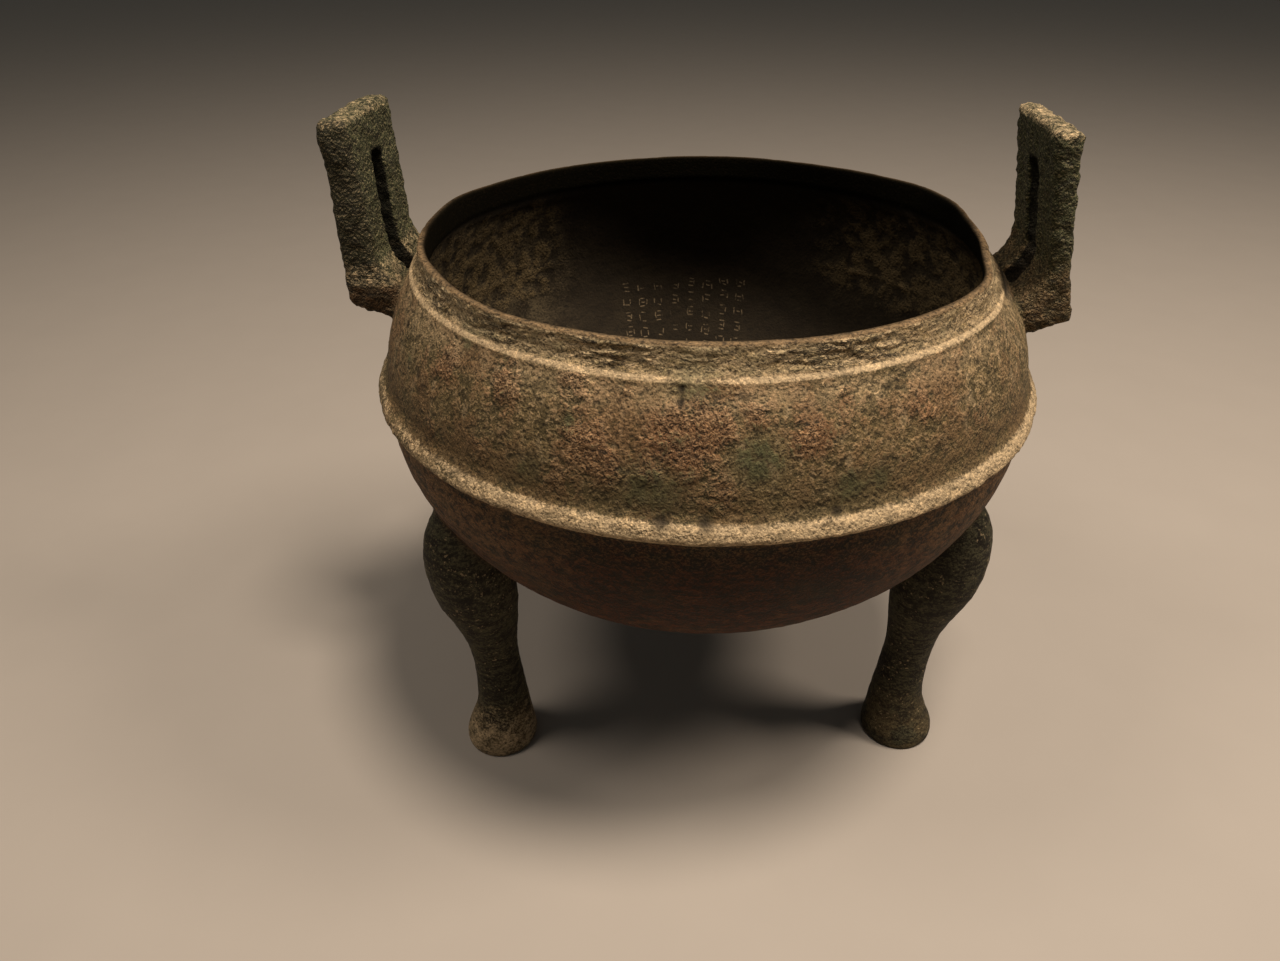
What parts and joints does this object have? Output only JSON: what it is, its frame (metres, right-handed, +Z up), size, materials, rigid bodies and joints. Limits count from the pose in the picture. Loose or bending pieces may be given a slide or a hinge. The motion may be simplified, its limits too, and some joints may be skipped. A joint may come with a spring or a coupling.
{
  "type": "bronze ding vessel",
  "caption": "Deep round bowl on hoofed legs, with upright slotted ears on the shoulder, an inset mouth and a flange round the belly; cast bronze with an old patina.",
  "frame": {"origin": "on the ground under the axis of the bowl", "axes": "+Z up along the axis of the bowl, -Y to the front between two of the legs, ears towards -X and +X"},
  "size_m": [0.3778, 0.36, 0.361],
  "materials": {
    "bronze": "dull, with a brown and green patina"
  },
  "bodies": {
    "root": {"ding_vessel": "bronze"}
  },
  "joints": []
}
